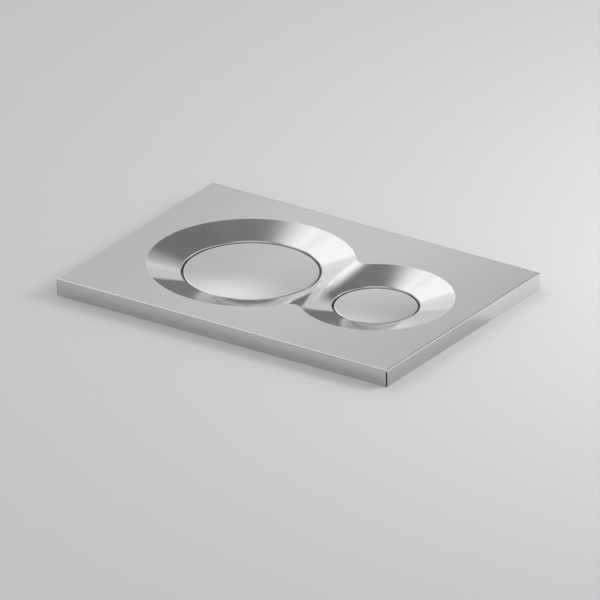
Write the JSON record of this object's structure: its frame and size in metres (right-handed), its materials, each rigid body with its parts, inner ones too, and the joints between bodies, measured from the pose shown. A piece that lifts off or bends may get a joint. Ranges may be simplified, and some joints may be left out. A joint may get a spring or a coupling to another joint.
{
  "type": "flush button plate",
  "caption": "Slim folded stainless flush plate with a large and a small round button in conical dishes that run together; hinged rockers behind them work a cistern's push rods.",
  "frame": {"origin": "middle of the plate's back, on the wall plane", "axes": "+X along the plate towards the small button, +Y up the wall, +Z out of the wall"},
  "size_m": [0.24, 0.17, 0.011],
  "materials": {
    "stainless_sheet": "fine satin polish",
    "spring_steel": "rolled and tempered",
    "plated_steel": "bright zinc plate",
    "ground_steel": "ground",
    "carrier_plastic": "fine moulded grain",
    "rocker_plastic": "smooth moulded",
    "frame_plastic": "smooth moulded",
    "pad_rubber": "matt"
  },
  "bodies": {
    "plate": {"face_plate": "stainless_sheet", "carrier_frame": "carrier_plastic", "mounting_frame": "frame_plastic", "weld_studs": "plated_steel", "push_nuts": "spring_steel", "spring_screws": "plated_steel", "snap_clip_top_left": "spring_steel", "snap_clip_top_right": "spring_steel", "snap_clip_bottom_left": "spring_steel", "snap_clip_bottom_right": "spring_steel", "full_flush_axle": "ground_steel", "half_flush_axle": "ground_steel", "full_flush_spring_upper": "spring_steel", "full_flush_spring_lower": "spring_steel", "half_flush_spring_upper": "spring_steel", "half_flush_spring_lower": "spring_steel"},
    "full_flush_button": {"full_flush_cap": "stainless_sheet", "full_flush_rocker": "rocker_plastic", "full_flush_push_pad": "pad_rubber"},
    "half_flush_button": {"half_flush_cap": "stainless_sheet", "half_flush_rocker": "rocker_plastic", "half_flush_push_pad": "pad_rubber"}
  },
  "joints": [
    {"name": "full_flush_press", "type": "hinge", "parent": "plate", "child": "full_flush_button", "pos_m": [-0.109, 0, 0.0049], "axis": [0, 1, 0], "range_deg": [0, 3.1], "stiffness_Nm_per_rad": 12, "springref_deg": -2.06, "deforming": ["full_flush_spring_upper", "full_flush_spring_lower"]},
    {"name": "half_flush_press", "type": "hinge", "parent": "plate", "child": "half_flush_button", "pos_m": [0.109, 0, 0.0049], "axis": [0, -1, 0], "range_deg": [0, 4.3], "stiffness_Nm_per_rad": 5, "springref_deg": -3.04, "deforming": ["half_flush_spring_upper", "half_flush_spring_lower"]}
  ]
}
